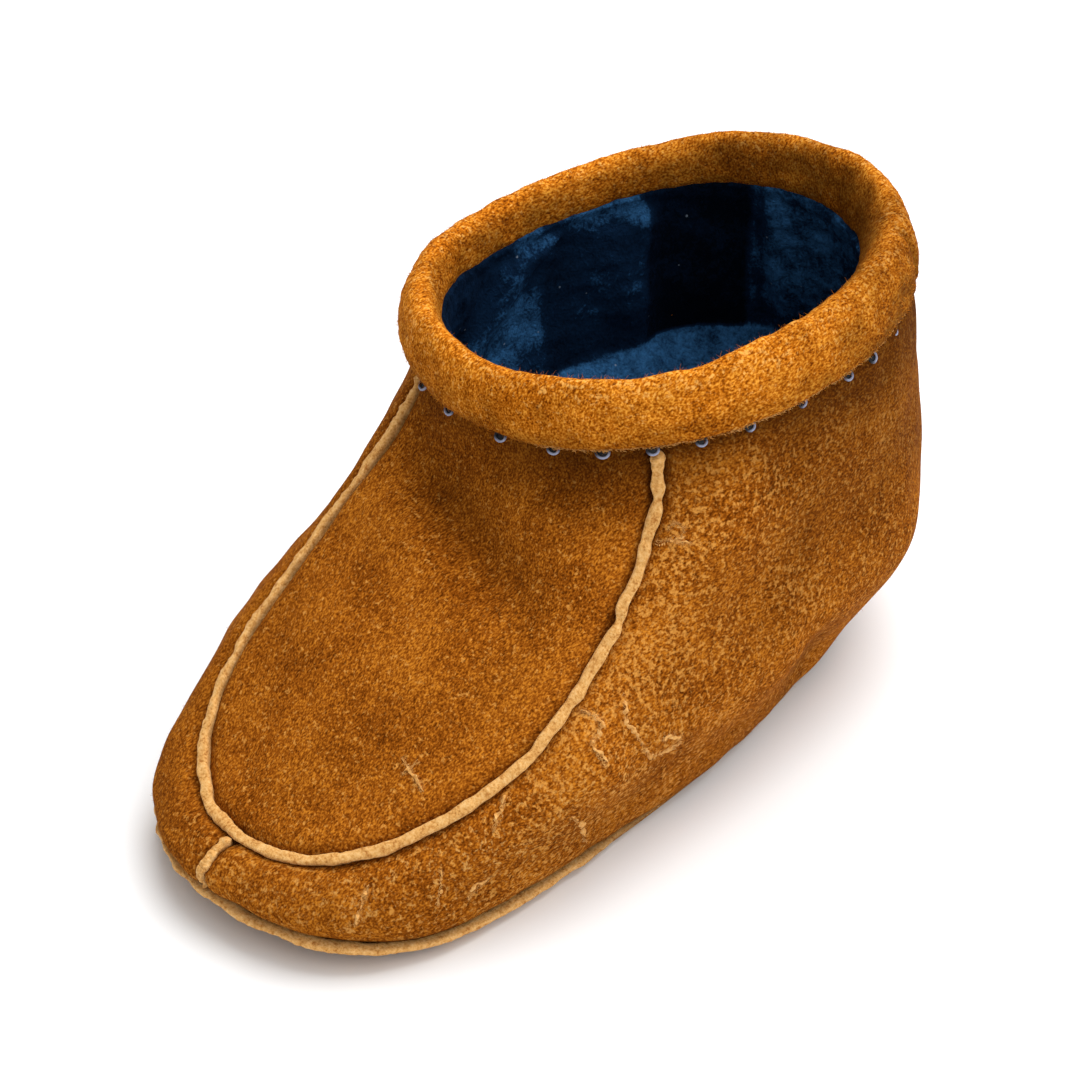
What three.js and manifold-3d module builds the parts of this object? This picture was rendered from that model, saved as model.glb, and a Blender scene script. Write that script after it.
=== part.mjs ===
// A small child's soft moccasin slipper, left foot, sewn from suede with a rolled collar.
// Millimetres, +Z up, toe towards -Y, heel towards +Y, the foot's outer side towards +X.
// The origin lies on the floor under the middle of the sole.
import * as THREE from "three";
import { mergeVertices } from "three/addons/utils/BufferGeometryUtils.js";
import Module from "manifold-3d";

const wasm = await Module();
wasm.setup();

// Driving dimensions of the last
const LENGTH = 139; // toe bulge to heel bulge
const BALL_WIDTH = 71; // across the fullest part of the walls
const COLLAR_HEIGHT = 65; // floor to the middle of the collar roll, at the side
const TOE_SPRING = 3.6; // lift of the sole's edge at the toe
const SPRING_START = -0.26 * LENGTH; // the sole lies flat from here to the heel
const TOE_SKEW = 0.6; // the toe seam lies a little towards the outer side
const HEEL_SKEW = { shift: -3.2, spent_at: 0.46 }; // the heel seat lies towards the inner side
const ANKLE_LEAN = -3.1; // the soft collar leans towards the inner side

// Thicknesses and gaps
const WALL = 2; // suede with its backing
const GAP = 0.3; // between neighbouring pieces
const SOLE_THICKNESS = 1.4;
const SOLE_CHAMFER = { inset: 1.1, rise: 0.7 }; // worn lower edge of the sole
const SOLE_DRAW_IN = 0.8; // the sole's edge lies this far in from the seam
const INSOLE_THICKNESS = 2.5;
const INSOLE_INSET = 3.2;
const INSOLE_CHAMFER = 0.8;
const SOLE_WELT = { outside: 0.9, inside: 1.4, height: 0.8 };
// The welt is drawn under along the sides and heel, from and to these shares of the way round to the heel.
const SOLE_WELT_TUCK = { inset: 0.3, inner: [0.24, 0.38], outer: [0.44, 0.58] };
const FEATHER_RISE = SOLE_THICKNESS + SOLE_WELT.height + 2 * GAP; // lower edge of the upper

// Collar roll: an egg-shaped section whose outer face keeps this distance from the upper.
// It stands tallest on the outer side, hangs lowest at the front and is thickest behind the ankle bone.
// turn: degrees from the front by the outer side, in even steps; above, below: from its middle line.
const ROLL_OUTSIDE = 3.2;
const ROLL_SIZES = [
  { turn: 0, half_width: 2.9, above: 5.1, below: 4.9 },
  { turn: 45, half_width: 2.9, above: 7.1, below: 3.5 },
  { turn: 90, half_width: 3.1, above: 9.4, below: 2.8 },
  { turn: 135, half_width: 4.3, above: 8.0, below: 3.2 },
  { turn: 180, half_width: 3.3, above: 6.8, below: 3.2 },
  { turn: 225, half_width: 2.9, above: 5.6, below: 3.2 },
  { turn: 270, half_width: 2.9, above: 4.8, below: 3.2 },
  { turn: 315, half_width: 2.9, above: 5.6, below: 4.4 },
];
const ROLL_SEAT = 4; // the roll is open this far inside the wall, below its middle line
const ROLL_GAP = 0.4; // between the hanging part of the roll and the wall

// Raised raw-edged welt that is caught in the apron and toe seams
const WELT = { half_width: 0.8, root: 0.4, shoulder: 0.95, crown: 1.2 };

// Rings of the upper, from the seam at the sole up to the collar.
// at: place from sole (0) to collar (1); toe, heel, widest: shares of LENGTH along Y;
// width: share of BALL_WIDTH; rises: shares of COLLAR_HEIGHT; fullness: squareness of each end.
const FEATHER_SHARE = FEATHER_RISE / COLLAR_HEIGHT;
const RINGS = [
  { at: 0.0, toe: -0.492, heel: 0.43, widest: -0.139, width: 0.814,
    toe_rise: FEATHER_SHARE, side_rise: FEATHER_SHARE, heel_rise: FEATHER_SHARE, toe_full: 0.5, heel_full: 0.2 },
  { at: 0.12, toe: -0.493, heel: 0.475, widest: -0.11, width: 0.904,
    toe_rise: 0.154, side_rise: 0.174, heel_rise: 0.191, toe_full: 0.34, heel_full: 0.21 },
  { at: 0.26, toe: -0.427, heel: 0.498, widest: -0.088, width: 1.0,
    toe_rise: 0.228, side_rise: 0.343, heel_rise: 0.362, toe_full: 0.1, heel_full: 0.32 },
  { at: 0.46, toe: -0.282, heel: 0.495, widest: 0.004, width: 0.918,
    toe_rise: 0.477, side_rise: 0.562, heel_rise: 0.585, toe_full: 0.01, heel_full: 0.37 },
  { at: 0.66, toe: -0.122, heel: 0.477, widest: 0.072, width: 0.918,
    toe_rise: 0.708, side_rise: 0.766, heel_rise: 0.772, toe_full: 0.07, heel_full: 0.31 },
  { at: 0.84, toe: -0.076, heel: 0.46, widest: 0.148, width: 0.885,
    toe_rise: 0.897, side_rise: 0.925, heel_rise: 0.938, toe_full: 0.11, heel_full: 0.22 },
  { at: 1.0, toe: -0.094, heel: 0.446, widest: 0.148, width: 0.831,
    toe_rise: 0.992, side_rise: 0.997, heel_rise: 1.038, toe_full: 0.1, heel_full: 0.18 },
];
const SPRING_FADE = RINGS[1].at; // the toe spring is spent by this ring
const UPPER_TOP = 0.977; // the wall stops just below the collar roll

// Apron seam: its place on the rings at the toe, where it is widest and at the collar,
// and how far each side of it lies from the foot's middle line
const APRON = { toe_at: 0.22, full_at: 0.375, top_at: 0.86, roundness: 2.2 };
const APRON_HALF = { inner: { full: 23, top: 20 }, outer: { full: 28.7, top: 23.2 } };
const APRON_ROUND_SHARE = 0.55; // share of the seam's points in the rounded toe
const TOE_WELT_SPAN = { top_at: 0.195, low_at: 0.03 };

// Facets
const TURN_STEPS = 60;
const WALL_STEPS = 18;
const ROLL_STEPS = 14;
const SOLE_STATIONS = 30;
const SOLE_SHARES = [-1, -0.6, -0.2, 0.2, 0.6, 1];
const APRON_STEPS = 72;
const TOE_WELT_STEPS = 8;

const SUEDE = new THREE.MeshStandardMaterial({ color: 0x9c5a18, roughness: 0.95, metalness: 0 });
const RAW_EDGE = new THREE.MeshStandardMaterial({ color: 0xd0944e, roughness: 0.95, metalness: 0 });
const SOLE_SUEDE = new THREE.MeshStandardMaterial({ color: 0x8a5220, roughness: 0.95, metalness: 0 });
const FLEECE = new THREE.MeshStandardMaterial({ color: 0x142f52, roughness: 1, metalness: 0 });

// Smooth curve through one column of the ring table, with each slope set by the neighbouring rows.
function columnAt(column, at) {
  const last = RINGS.length - 1;
  let i = 0;
  while (i < last - 1 && at > RINGS[i + 1].at) i += 1;
  const slope = (k) => {
    const a = RINGS[Math.max(k - 1, 0)];
    const b = RINGS[Math.min(k + 1, last)];
    return (b[column] - a[column]) / (b.at - a.at);
  };
  const span = RINGS[i + 1].at - RINGS[i].at;
  const t = (at - RINGS[i].at) / span;
  const rise = t * t * (3 - 2 * t);
  return RINGS[i][column] * (1 - rise) + RINGS[i + 1][column] * rise
    + span * t * (1 - t) * ((1 - t) * slope(i) - t * slope(i + 1));
}

// Lift of the sole and of the seam above it, at a place along the foot.
function springAt(y) {
  const toe = RINGS[0].toe * LENGTH;
  return TOE_SPRING * Math.max(0, (SPRING_START - y) / (SPRING_START - toe)) ** 2;
}

// Point of the upper's outer face: turn runs round the foot from the toe by the outer side.
function upperPoint(turn, at) {
  const along = (column) => columnAt(column, at) * LENGTH;
  const rise = (column) => columnAt(column, at) * COLLAR_HEIGHT;
  const c = Math.cos(turn);
  const front = Math.max(c, 0);
  const back = Math.max(-c, 0);
  const full = columnAt(c > 0 ? "toe_full" : "heel_full", at);
  const half = (columnAt("width", at) * BALL_WIDTH) / 2;
  const seat = HEEL_SKEW.shift * back * Math.max(0, 1 - at / HEEL_SKEW.spent_at) ** 1.5;
  const shift = TOE_SKEW * front ** 2 * (1 - at) + seat + ANKLE_LEAN * at ** 1.5;
  const x = half * Math.sin(turn) * (1 + full * c * c) + shift;
  const y = along("widest") * (1 - front - back) + along("toe") * front + along("heel") * back;
  const side = rise("side_rise");
  const z = side + (rise("toe_rise") - side) * front ** 2 + (rise("heel_rise") - side) * back ** 2;
  return new THREE.Vector3(x, y, z + springAt(y) * Math.max(0, 1 - at / SPRING_FADE));
}

function upperNormal(turn, at) {
  const step = 1e-3;
  const low = Math.max(at - step, 0);
  const high = Math.min(at + step, 1);
  const round = upperPoint(turn + step, at).sub(upperPoint(turn - step, at));
  const up = upperPoint(turn, high).sub(upperPoint(turn, low));
  return round.cross(up).normalize();
}

// Point at a distance from the upper's outer face, outwards where the distance is positive.
function upperOffset(turn, at, distance) {
  return upperPoint(turn, at).addScaledVector(upperNormal(turn, at), distance);
}

function geometryOf(points, triangles) {
  const geometry = new THREE.BufferGeometry().setFromPoints(points);
  return geometry.setIndex(triangles);
}

// Faces of a grid of points, rows by columns, with the first row or column joined to the last if asked.
function gridFaces(rows, columns, start, { wrapRows = false, wrapColumns = false, flip = false } = {}) {
  const triangles = [];
  const index = (r, c) => start + (r % rows) * columns + (c % columns);
  for (let r = 0; r < (wrapRows ? rows : rows - 1); r += 1) {
    for (let c = 0; c < (wrapColumns ? columns : columns - 1); c += 1) {
      const quad = [index(r, c), index(r + 1, c), index(r + 1, c + 1), index(r, c + 1)];
      if (flip) quad.reverse();
      triangles.push(quad[0], quad[1], quad[2], quad[0], quad[2], quad[3]);
    }
  }
  return triangles;
}

// Wall between two distances from the upper's outer face, from one ring to another, open at both ends.
function wallGeometry(outside, inside, low, high, steps) {
  const loop = [];
  for (let k = 0; k <= steps; k += 1) loop.push([low + ((high - low) * k) / steps, outside]);
  for (let k = steps; k >= 0; k -= 1) loop.push([low + ((high - low) * k) / steps, inside]);
  const points = [];
  for (let i = 0; i < TURN_STEPS; i += 1) {
    const turn = (2 * Math.PI * i) / TURN_STEPS;
    for (const [at, distance] of loop) points.push(upperOffset(turn, at, distance));
  }
  return geometryOf(points, gridFaces(TURN_STEPS, loop.length, 0, { wrapRows: true, wrapColumns: true }));
}

// Plan outline of the sole's seam, drawn in by an inset.
function seamOutline(turn, inset) {
  const step = 1e-3;
  const p = upperPoint(turn, 0);
  const ahead = upperPoint(turn + step, 0).sub(upperPoint(turn - step, 0));
  const outwards = new THREE.Vector3(ahead.y, -ahead.x, 0).normalize();
  return p.addScaledVector(outwards, -inset);
}

// Flat piece cut to the sole's outline. Each level is an inset and a height, from underside to top.
function plateGeometry(levels) {
  const points = [];
  const triangles = [];
  const pointAt = (turn, level) => {
    const p = seamOutline(turn, level.inset);
    return new THREE.Vector3(p.x, p.y, level.height + springAt(p.y));
  };
  const stationTurn = (k) => (Math.PI * k) / SOLE_STATIONS;
  const face = (level, flip) => {
    const start = points.length;
    for (let k = 0; k <= SOLE_STATIONS; k += 1) {
      const inner = pointAt(-stationTurn(k), level);
      const outer = pointAt(stationTurn(k), level);
      for (const share of SOLE_SHARES) points.push(inner.clone().lerp(outer, (share + 1) / 2));
    }
    triangles.push(...gridFaces(SOLE_STATIONS + 1, SOLE_SHARES.length, start, { flip }));
  };
  face(levels[0], false);
  face(levels[levels.length - 1], true);
  const start = points.length;
  for (let i = 0; i < 2 * SOLE_STATIONS; i += 1) {
    for (const level of levels) points.push(pointAt(stationTurn(i), level));
  }
  triangles.push(...gridFaces(2 * SOLE_STATIONS, levels.length, start, { wrapRows: true }));
  return geometryOf(points, triangles);
}

// Closed bar with the given section, carried along a list of frames with capped ends.
function barGeometry(frames, section) {
  const points = [];
  for (const { place, across, up } of frames) {
    for (const [side, height] of section) {
      points.push(place.clone().addScaledVector(across, side).addScaledVector(up, height));
    }
  }
  const triangles = gridFaces(frames.length, section.length, 0, { wrapColumns: true });
  const last = (frames.length - 1) * section.length;
  for (let k = 1; k < section.length - 1; k += 1) {
    triangles.push(0, k, k + 1, last, last + k + 1, last + k);
  }
  return geometryOf(points, triangles);
}

// Frames along a path of turns and rings on the upper's outer face.
function framesOnUpper(path) {
  const places = path.map(([turn, at]) => upperPoint(turn, at));
  return path.map(([turn, at], i) => {
    const ahead = places[Math.min(i + 1, path.length - 1)].clone().sub(places[Math.max(i - 1, 0)]);
    const up = upperNormal(turn, at);
    return { place: places[i], across: up.clone().cross(ahead).normalize(), up };
  });
}

// Turn at which a ring reaches a given distance from the foot's middle line.
function turnForHalf(half, at) {
  const reach = (turn) => {
    const full = columnAt("toe_full", at);
    return ((columnAt("width", at) * BALL_WIDTH) / 2) * Math.sin(turn) * (1 + full * Math.cos(turn) ** 2);
  };
  let low = 0;
  let high = Math.PI / 2;
  for (let k = 0; k < 40; k += 1) {
    const middle = (low + high) / 2;
    if (reach(middle) < half) low = middle;
    else high = middle;
  }
  return (low + high) / 2;
}

// Apron seam, from -1 at the inner side of the collar by the toe (0) to 1 at the outer side:
// a quarter of a rounded square at the toe, then a run up to the collar.
function apronPlace(share) {
  const t = Math.abs(share);
  const side = share < 0 ? APRON_HALF.inner : APRON_HALF.outer;
  const swing = (Math.min(t / APRON_ROUND_SHARE, 1) * Math.PI) / 2;
  const run = Math.max(0, (t - APRON_ROUND_SHARE) / (1 - APRON_ROUND_SHARE));
  const power = 2 / APRON.roundness;
  const at = APRON.toe_at + (APRON.full_at - APRON.toe_at) * (1 - Math.max(0, Math.cos(swing)) ** power)
    + (APRON.top_at - APRON.full_at) * run;
  const half = side.full * Math.sin(swing) ** power + (side.top - side.full) * run ** 1.6;
  return [Math.sign(share) * turnForHalf(half, at), at];
}

function weltSection() {
  const { half_width, root, shoulder, crown } = WELT;
  return [[-half_width, root], [-half_width, shoulder], [0, crown], [half_width, shoulder], [half_width, root]];
}

function apronWeltGeometry() {
  const path = [];
  for (let k = 0; k <= APRON_STEPS; k += 1) path.push(apronPlace((2 * k) / APRON_STEPS - 1));
  return barGeometry(framesOnUpper(path), weltSection());
}

function toeWeltGeometry() {
  const path = [];
  for (let k = 0; k <= TOE_WELT_STEPS; k += 1) {
    const t = k / TOE_WELT_STEPS;
    path.push([0, TOE_WELT_SPAN.top_at + (TOE_WELT_SPAN.low_at - TOE_WELT_SPAN.top_at) * t]);
  }
  return barGeometry(framesOnUpper(path), weltSection());
}

// Smooth step from 0 to 1 between two values.
function smoothStep(value, from, to) {
  const t = Math.min(1, Math.max(0, (value - from) / (to - from)));
  return t * t * (3 - 2 * t);
}

// Raw-edged strip in the seam between the upper and the sole. It stands out as a lip round the toe
// and is tucked under along the sides and heel.
function soleWeltGeometry() {
  const low = SOLE_THICKNESS + GAP;
  const { outside, inside, height } = SOLE_WELT;
  const points = [];
  for (let i = 0; i < TURN_STEPS; i += 1) {
    const turn = (2 * Math.PI * i) / TURN_STEPS;
    const [from, to] = Math.sin(turn) > 0 ? SOLE_WELT_TUCK.outer : SOLE_WELT_TUCK.inner;
    const tuck = smoothStep(Math.acos(Math.cos(turn)) / Math.PI, from, to);
    const edge = -outside + (outside + SOLE_WELT_TUCK.inset) * tuck;
    const lift = springAt(seamOutline(turn, 0).y);
    for (const [inset, z] of [[edge, low], [edge, low + height], [inside, low + height], [inside, low]]) {
      const p = seamOutline(turn, inset);
      points.push(new THREE.Vector3(p.x, p.y, z + lift));
    }
  }
  return geometryOf(points, gridFaces(TURN_STEPS, 4, 0, { wrapRows: true, wrapColumns: true }));
}

function solidOf(geometry) {
  const merged = mergeVertices(geometry, 1e-4);
  return new wasm.Manifold(new wasm.Mesh({
    numProp: 3,
    vertProperties: new Float32Array(merged.attributes.position.array),
    triVerts: new Uint32Array(merged.index.array),
  }));
}

function geometryFromSolid(solid) {
  const { vertProperties, triVerts } = solid.getMesh();
  const geometry = new THREE.BufferGeometry();
  geometry.setAttribute("position", new THREE.BufferAttribute(vertProperties, 3));
  return geometry.setIndex(new THREE.BufferAttribute(triVerts, 1));
}

// One of the roll's sizes at a turn: a smooth curve through the table, which closes on itself.
function rollSize(column, turn) {
  const count = ROLL_SIZES.length;
  const place = (turn / (2 * Math.PI)) * count;
  const first = Math.floor(place);
  const t = place - first;
  const size = (k) => ROLL_SIZES[(first + k + count) % count][column];
  const rise = t * t * (3 - 2 * t);
  const bend = ((1 - t) * (size(1) - size(-1)) - t * (size(2) - size(0))) / 2;
  return size(0) * (1 - rise) + size(1) * rise + t * (1 - t) * bend;
}

// The roll runs round the top ring. It hangs over the outside of the upper's wall and rests on its top edge.
function collarRollGeometry() {
  const points = [];
  for (let i = 0; i < TURN_STEPS; i += 1) {
    const turn = (2 * Math.PI * i) / TURN_STEPS;
    const middle = upperPoint(turn, 1);
    const outwards = upperNormal(turn, 1).setZ(0).normalize();
    const half = rollSize("half_width", turn);
    middle.addScaledVector(outwards, ROLL_OUTSIDE - half);
    for (let k = 0; k < ROLL_STEPS; k += 1) {
      const swing = (2 * Math.PI * k) / ROLL_STEPS;
      const tall = rollSize(Math.sin(swing) > 0 ? "above" : "below", turn);
      const p = middle.clone().addScaledVector(outwards, half * Math.cos(swing));
      points.push(p.setZ(p.z + tall * Math.sin(swing)));
    }
  }
  const faces = gridFaces(TURN_STEPS, ROLL_STEPS, 0, { wrapRows: true, wrapColumns: true });
  const seat = wallGeometry(ROLL_GAP, -WALL - ROLL_SEAT, RINGS[5].at, 1, 4);
  return geometryFromSolid(solidOf(geometryOf(points, faces)).subtract(solidOf(seat)));
}

function outsoleGeometry() {
  return plateGeometry([
    { inset: SOLE_DRAW_IN + SOLE_CHAMFER.inset, height: 0 },
    { inset: SOLE_DRAW_IN, height: SOLE_CHAMFER.rise },
    { inset: SOLE_DRAW_IN, height: SOLE_THICKNESS },
  ]);
}

function insoleGeometry() {
  const low = SOLE_THICKNESS + GAP;
  return plateGeometry([
    { inset: INSOLE_INSET, height: low },
    { inset: INSOLE_INSET, height: low + INSOLE_THICKNESS - INSOLE_CHAMFER },
    { inset: INSOLE_INSET + INSOLE_CHAMFER, height: low + INSOLE_THICKNESS },
  ]);
}

function piece(name, geometry, material) {
  const mesh = new THREE.Mesh(geometry, material);
  mesh.name = name;
  return mesh;
}

const slipper = new THREE.Group();
slipper.add(
  piece("outsole", outsoleGeometry(), SOLE_SUEDE),
  piece("insole", insoleGeometry(), FLEECE),
  piece("upper", wallGeometry(0, -WALL, 0, UPPER_TOP, WALL_STEPS), SUEDE),
  piece("collar_roll", collarRollGeometry(), SUEDE),
  piece("apron_welt", apronWeltGeometry(), RAW_EDGE),
  piece("toe_welt", toeWeltGeometry(), RAW_EDGE),
  piece("sole_welt", soleWeltGeometry(), RAW_EDGE),
);

export default slipper;
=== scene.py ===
"""A small child's soft suede moccasin slipper, left foot, standing on a plain floor."""

import bmesh
import bpy
import numpy as np
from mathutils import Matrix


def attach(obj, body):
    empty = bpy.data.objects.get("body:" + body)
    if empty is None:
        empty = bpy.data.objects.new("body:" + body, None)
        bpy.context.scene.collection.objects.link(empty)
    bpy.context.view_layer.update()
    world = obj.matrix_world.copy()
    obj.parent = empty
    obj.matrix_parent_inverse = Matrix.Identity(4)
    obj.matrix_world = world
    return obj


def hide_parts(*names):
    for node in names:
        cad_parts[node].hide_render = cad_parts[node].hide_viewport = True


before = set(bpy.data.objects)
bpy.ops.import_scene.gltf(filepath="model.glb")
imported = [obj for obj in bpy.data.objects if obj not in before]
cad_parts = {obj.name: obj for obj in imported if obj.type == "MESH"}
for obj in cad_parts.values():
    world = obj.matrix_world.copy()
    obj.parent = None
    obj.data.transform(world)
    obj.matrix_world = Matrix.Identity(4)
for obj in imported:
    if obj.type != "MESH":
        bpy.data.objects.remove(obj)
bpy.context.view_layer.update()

# Upper
# Two panels of tan suede, a vamp (the apron) and a wall that goes round the toe and heel.
# They are sewn edge to edge on the last, so the upper takes the last's form, with soft creases.
MM = 0.001
LENGTH = 139.0
BALL_WIDTH = 71.0
COLLAR_HEIGHT = 65.0
TOE_SPRING = 3.6
SPRING_START = -0.26 * LENGTH
TOE_SKEW = 0.6
HEEL_SKEW = -3.2
HEEL_SKEW_SPENT = 0.46
ANKLE_LEAN = -3.1
WALL = 2.0
UPPER_TOP = 0.977
FEATHER = 2.8 / COLLAR_HEIGHT
LAST_COLUMNS = (
    "at", "toe", "heel", "widest", "width", "toe_rise", "side_rise", "heel_rise", "toe_full", "heel_full",
)
LAST_RINGS = np.array([
    (0.00, -0.492, 0.430, -0.139, 0.814, FEATHER, FEATHER, FEATHER, 0.50, 0.20),
    (0.12, -0.493, 0.475, -0.110, 0.904, 0.154, 0.174, 0.191, 0.34, 0.21),
    (0.26, -0.427, 0.498, -0.088, 1.000, 0.228, 0.343, 0.362, 0.10, 0.32),
    (0.46, -0.282, 0.495, 0.004, 0.918, 0.477, 0.562, 0.585, 0.01, 0.37),
    (0.66, -0.122, 0.477, 0.072, 0.918, 0.708, 0.766, 0.772, 0.07, 0.31),
    (0.84, -0.076, 0.460, 0.148, 0.885, 0.897, 0.925, 0.938, 0.11, 0.22),
    (1.00, -0.094, 0.446, 0.148, 0.831, 0.992, 0.997, 1.038, 0.10, 0.18),
])


def ring_column(column, at):
    """Smooth curve through one column of the ring table: a cubic in each span,
    whose slope at a row is that of the line between the row's two neighbours."""
    knots, values = LAST_RINGS[:, 0], LAST_RINGS[:, LAST_COLUMNS.index(column)]
    rows = np.arange(len(knots))
    before, after = np.maximum(rows - 1, 0), np.minimum(rows + 1, len(knots) - 1)
    slopes = (values[after] - values[before]) / (knots[after] - knots[before])
    i = np.clip(np.searchsorted(knots, at) - 1, 0, len(knots) - 2)
    span = knots[i + 1] - knots[i]
    t = (at - knots[i]) / span
    ease = t * t * (3 - 2 * t)
    bend = span * t * (1 - t) * ((1 - t) * slopes[i] - t * slopes[i + 1])
    return values[i] * (1 - ease) + values[i + 1] * ease + bend


def spring_at(y):
    """Lift of the sole along the foot: a parabola from the forefoot to the toe."""
    toe = LAST_RINGS[0, 1] * LENGTH
    return TOE_SPRING * np.maximum(0, (SPRING_START - y) / (SPRING_START - toe)) ** 2


def last_point(turn, at):
    """Outer face of the upper in millimetres. Each ring is two half ellipses, squared off by its
    fullness; its height goes from side to toe or heel with the square of the cosine of turn."""
    turn, at = np.broadcast_arrays(np.asarray(turn, float), np.asarray(at, float))
    c, s = np.cos(turn), np.sin(turn)
    front, back = np.maximum(c, 0), np.maximum(-c, 0)
    full = np.where(c > 0, ring_column("toe_full", at), ring_column("heel_full", at))
    x = ring_column("width", at) * BALL_WIDTH / 2 * s * (1 + full * c * c)
    x = x + TOE_SKEW * front**2 * (1 - at) + ANKLE_LEAN * np.maximum(at, 0) ** 1.5
    x = x + HEEL_SKEW * back * np.maximum(0, 1 - at / HEEL_SKEW_SPENT) ** 1.5
    widest = ring_column("widest", at)
    to_toe, to_heel = ring_column("toe", at) - widest, ring_column("heel", at) - widest
    y = LENGTH * (widest + to_toe * front + to_heel * back)
    side = ring_column("side_rise", at)
    to_toe, to_heel = ring_column("toe_rise", at) - side, ring_column("heel_rise", at) - side
    rise = side + to_toe * front**2 + to_heel * back**2
    z = COLLAR_HEIGHT * rise + spring_at(y) * np.maximum(0, 1 - at / LAST_RINGS[1, 0])
    return np.stack([x, y, z], -1)


def unit(vectors):
    """Each vector over its own length."""
    return vectors / np.linalg.norm(vectors, axis=-1, keepdims=True)


def last_normal(turn, at):
    """Outward direction: the cross product of small steps round the ring and up the wall."""
    step = 1e-3
    at = np.asarray(at, float)
    along = last_point(turn + step, at) - last_point(turn - step, at)
    upwards = last_point(turn, np.minimum(at + step, 1)) - last_point(turn, np.maximum(at - step, 0))
    return unit(np.cross(along, upwards))


def lumps(places, size, seed):
    """Smooth random field with a spread near 1: the mean of sine waves in seeded directions,
    each with a wavelength near size in millimetres."""
    rng = np.random.default_rng(seed)
    waves = unit(rng.normal(size=(14, 3))) * (2 * np.pi / size) * rng.uniform(0.6, 1.5, (14, 1))
    return np.sin(places @ waves.T + rng.uniform(0, 2 * np.pi, 14)).sum(-1) / np.sqrt(7)


def path_distance(places, path):
    """Distance in millimetres from each place to a polyline, how far along it the nearest point is,
    and the polyline's length."""
    nearest = np.full(places.shape[:-1], 1e6)
    reach = np.zeros(places.shape[:-1])
    start = 0.0
    for a, b in zip(path[:-1], path[1:]):
        run = np.linalg.norm(b - a)
        share = np.clip(((places - a) @ (b - a)) / run**2, 0, 1)
        gap = np.linalg.norm(places - a - share[..., None] * (b - a), axis=-1)
        closer = gap < nearest
        nearest = np.where(closer, gap, nearest)
        reach = np.where(closer, start + share * run, reach)
        start += run
    return nearest, reach, start


def bell(x):
    """Soft hump: one at zero, falling with the square of x."""
    return np.exp(-(x**2))


def fade(x, low, high):
    """Smooth step from 0 at low to 1 at high."""
    t = np.clip((x - low) / (high - low), 0, 1)
    return t * t * (3 - 2 * t)


# Apron seam on the last: a quarter of a rounded square of ring against half width round the toe,
# then a run up to the collar. Shares go from -1 on the inner side by 0 at the toe to 1.
# Half widths are distances from the foot's middle line, at the widest place and at the collar.
APRON = {"toe_at": 0.22, "full_at": 0.375, "top_at": 0.86, "roundness": 2.2, "round": 0.55}
APRON_INNER_HALF = (23.0, 20.0)
APRON_OUTER_HALF = (28.7, 23.2)


def apron_place(share):
    """Turn and ring of the seam. The turn comes from halving the interval that holds it, again and again,
    by whether the ring is still too narrow at its middle."""
    share = np.asarray(share, float)
    full, top = np.moveaxis(np.where(share[..., None] < 0, APRON_INNER_HALF, APRON_OUTER_HALF), -1, 0)
    t = np.abs(share)
    swing = np.minimum(t / APRON["round"], 1) * np.pi / 2
    run = np.maximum(0, (t - APRON["round"]) / (1 - APRON["round"]))
    power = 2 / APRON["roundness"]
    climb = 1 - np.maximum(0, np.cos(swing)) ** power
    at = APRON["toe_at"] + (APRON["full_at"] - APRON["toe_at"]) * climb
    at = at + (APRON["top_at"] - APRON["full_at"]) * run
    half = full * np.sin(swing) ** power + (top - full) * run**1.6
    low, high = np.zeros_like(at), np.full_like(at, np.pi / 2)
    for _ in range(40):
        turn = (low + high) / 2
        reach = ring_column("width", at) * BALL_WIDTH / 2 * np.sin(turn)
        reach = reach * (1 + ring_column("toe_full", at) * np.cos(turn) ** 2)
        low, high = np.where(reach < half, turn, low), np.where(reach < half, high, turn)
    return np.sign(share) * turn, at


def toe_seam(share):
    """Seam down the middle of the toe, from the apron to the sole, bowed a little to the inner side."""
    return last_point(-0.022 * np.sin(np.pi * share), APRON["toe_at"] * (1 - share))


def grid_piece(name, places, wrap_rows=False, wrap_columns=False, weld=False):
    """Mesh of four-sided faces over a grid of places in millimetres, put into a new object in metres.
    Where the places have four axes, the first counts separate grids that are joined in one mesh."""
    rows, columns = places.shape[-3:-1]
    count = places.size // (rows * columns * 3)
    index = np.arange(rows * columns).reshape(rows, columns)
    down = np.vstack([index, index[:1]]) if wrap_rows else index
    grid = np.hstack([down, down[:, :1]]) if wrap_columns else down
    faces = np.stack([grid[:-1, :-1], grid[1:, :-1], grid[1:, 1:], grid[:-1, 1:]], -1).reshape(1, -1, 4)
    faces = (faces + (np.arange(count) * rows * columns)[:, None, None]).reshape(-1, 4)
    mesh = bpy.data.meshes.new(name)
    mesh.from_pydata((places.reshape(-1, 3) * MM).tolist(), [], faces.tolist())
    if weld:
        work = bmesh.new()
        work.from_mesh(mesh)
        bmesh.ops.remove_doubles(work, verts=work.verts, dist=1e-3 * MM)
        work.to_mesh(mesh)
        work.free()
    mesh.polygons.foreach_set("use_smooth", np.ones(len(mesh.polygons), bool))
    mesh.update()
    piece = bpy.data.objects.new(name, mesh)
    bpy.context.scene.collection.objects.link(piece)
    return piece


def paint(piece, name, amounts):
    """Store one number for each point of the mesh, for the piece's material to read."""
    layer = piece.data.attributes.new(name, "FLOAT", "POINT")
    layer.data.foreach_set("value", np.ascontiguousarray(amounts, dtype=np.float32).ravel())


# The seam at the sole shows round the toe and is tucked under along the sides and heel.
# It goes under between two shares of the way round to the heel.
INNER_TUCK = (0.24, 0.38)
OUTER_TUCK = (0.44, 0.58)


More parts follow.
